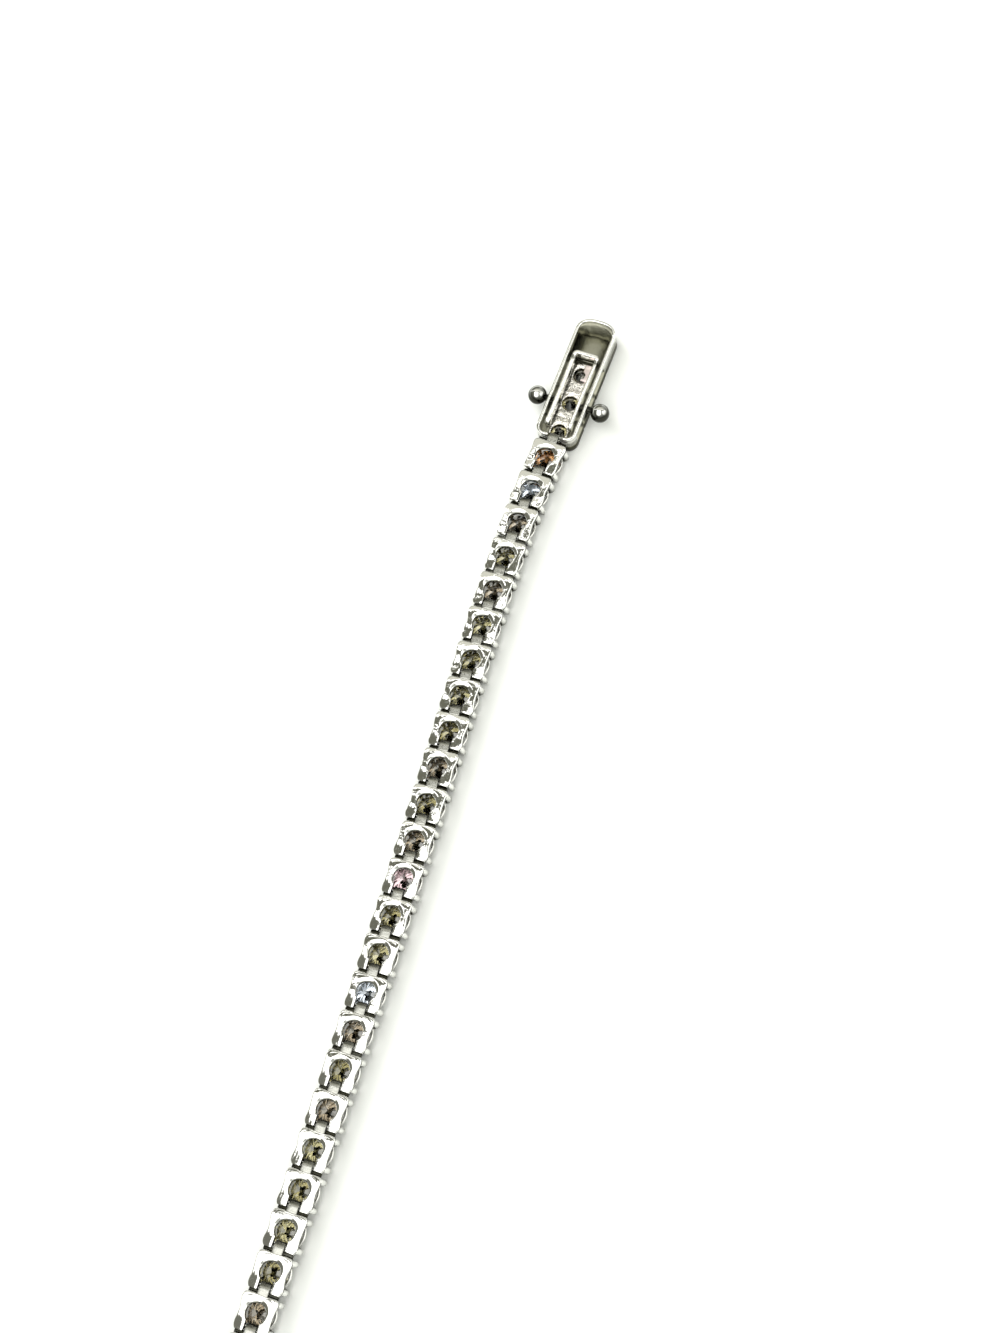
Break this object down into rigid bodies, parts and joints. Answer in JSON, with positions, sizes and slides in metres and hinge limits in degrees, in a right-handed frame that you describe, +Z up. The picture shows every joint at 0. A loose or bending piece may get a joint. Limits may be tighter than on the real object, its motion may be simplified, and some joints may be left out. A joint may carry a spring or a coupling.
{
  "type": "tennis bracelet",
  "caption": "Straight bracelet of round prong-set stones on hinged metal links, laid open and face down, with a box clasp released by ball studs at its sides and a plain tongue.",
  "frame": {"origin": "on the ground, under the middle of the whole bracelet's box", "axes": "+Y along the bracelet towards the clasp, +Z up out of the links' backs, so the stones face the ground, +X across the bracelet"},
  "size_m": [0.0096, 0.1892, 0.003],
  "materials": {
    "polished_silver": "hand-polished cast silver with a bright plated skin, slightly wavy, dark in its gaps",
    "spring_silver": "bright rolled strip and turned, mirror-polished balls",
    "stone": "clear faceted round brilliant, dark from behind with small bright glints"
  },
  "bodies": {
    "bracelet": {"clasp_housing": "polished_silver", "spring_bar": "spring_silver", "clasp_stone_1": "stone", "clasp_stone_2": "stone", "clasp_stone_3": "stone", "link_01": "polished_silver", "link_02": "polished_silver", "link_03": "polished_silver", "link_04": "polished_silver", "link_05": "polished_silver", "link_06": "polished_silver", "link_07": "polished_silver", "link_08": "polished_silver", "link_09": "polished_silver", "link_10": "polished_silver", "link_11": "polished_silver", "link_12": "polished_silver", "link_13": "polished_silver", "link_14": "polished_silver", "link_15": "polished_silver", "link_16": "polished_silver", "link_17": "polished_silver", "link_18": "polished_silver", "link_19": "polished_silver", "link_20": "polished_silver", "link_21": "polished_silver", "link_22": "polished_silver", "link_23": "polished_silver", "link_24": "polished_silver", "link_25": "polished_silver", "link_26": "polished_silver", "link_27": "polished_silver", "link_28": "polished_silver", "link_29": "polished_silver", "link_30": "polished_silver", "link_31": "polished_silver", "link_32": "polished_silver", "link_33": "polished_silver", "link_34": "polished_silver", "link_35": "polished_silver", "link_36": "polished_silver", "link_37": "polished_silver", "link_38": "polished_silver", "link_39": "polished_silver", "link_40": "polished_silver", "tongue": "polished_silver"},
    "left_stud": {"spring_arm_left": "spring_silver"},
    "right_stud": {"spring_arm_right": "spring_silver"}
  },
  "joints": [
    {"name": "left_squeeze", "type": "hinge", "parent": "bracelet", "child": "left_stud", "pos_m": [-0.00098, 0.08994, 0.0022], "axis": [0, 0, 1], "range_deg": [0, 3], "stiffness_Nm_per_rad": 0.1},
    {"name": "right_squeeze", "type": "hinge", "parent": "bracelet", "child": "right_stud", "pos_m": [0.00161, 0.0898, 0.0022], "axis": [0, 0, -1], "range_deg": [0, 3], "stiffness_Nm_per_rad": 0.1}
  ]
}
